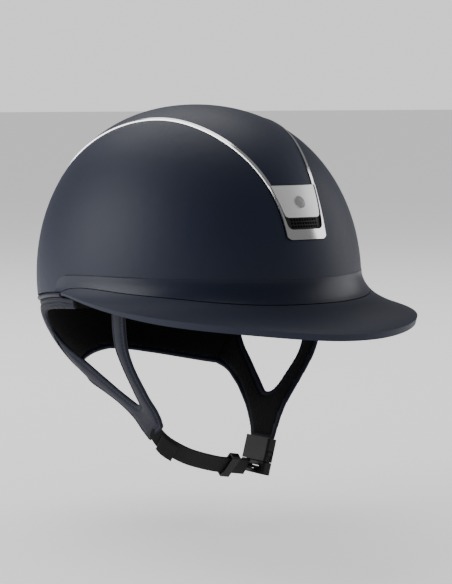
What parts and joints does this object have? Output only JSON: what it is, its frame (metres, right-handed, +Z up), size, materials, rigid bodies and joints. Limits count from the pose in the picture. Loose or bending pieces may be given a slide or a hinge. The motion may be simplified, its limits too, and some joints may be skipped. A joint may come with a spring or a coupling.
{
  "type": "riding helmet",
  "caption": "Wide-brimmed riding helmet with a domed shell, inset top panel, trims, vent, padded nape band, side straps and a chin strap with a sliding buckle.",
  "frame": {"origin": "middle of the shell at its widest level, where the head sits in it", "axes": "+Z up, -Y the way the brim and the wearer face, +X the wearer's left"},
  "size_m": [0.2198, 0.3264, 0.2688],
  "materials": {
    "shell": "matt navy paint, softly speckled",
    "band": "satin navy",
    "brim": "matt navy, fine grain",
    "chrome": "polished, with a dark edge",
    "plate": "finely brushed satin metal",
    "mesh": "black moulded grille",
    "foam": "expanded foam, beaded",
    "lining": "knitted cloth",
    "padding": "knitted padded cloth",
    "leather": "fine-grained padded leather, stitched",
    "piping": "rolled leather piping",
    "webbing": "woven black webbing",
    "buckle": "fine spark-textured moulding",
    "moulding": "moulded black plastic",
    "steel": "plain steel"
  },
  "bodies": {
    "helmet": {"badge_plate": "plate", "badge_stud": "plate", "brim": "brim", "brim_band": "band", "buckle_housing": "buckle", "buckle_tab": "webbing", "chin_webbing": "webbing", "edge_piping": "piping", "eps_liner": "foam", "front_frame": "chrome", "housing_magnet": "steel", "left_anchor_bar": "steel", "left_front_strap": "leather", "left_rear_strap": "leather", "left_strap_anchor": "moulding", "left_trim": "chrome", "left_yoke": "leather", "nape_band": "leather", "nape_carrier": "moulding", "outer_shell": "shell", "rear_vent_grille": "mesh", "right_anchor_bar": "steel", "right_front_strap": "leather", "right_rear_strap": "leather", "right_strap_anchor": "moulding", "right_trim": "chrome", "right_yoke": "leather", "top_panel": "shell", "vent_mesh": "mesh", "webbing_tail": "webbing"},
    "comfort_liner": {"liner_cup": "lining", "brow_pad": "padding", "left_side_pad": "padding", "right_side_pad": "padding", "nape_pad": "padding", "crown_pad": "padding"},
    "latch": {"buckle_latch": "buckle", "latch_magnet": "steel", "webbing_loop": "webbing"},
    "keeper": {"strap_keeper": "moulding"}
  },
  "joints": [
    {"name": "buckle_slide", "type": "slide", "parent": "helmet", "child": "latch", "axis": [0, -1, 0], "range_m": [0, 0.022], "deforming": ["chin_webbing"]},
    {"name": "keeper_slide", "type": "slide", "parent": "helmet", "child": "keeper", "axis": [0.9834, 0, -0.1813], "range_m": [-0.006, 0.005]},
    {"name": "liner_slide", "type": "slide", "parent": "helmet", "child": "comfort_liner", "axis": [0, 0, -1], "range_m": [0, 0.03]}
  ]
}
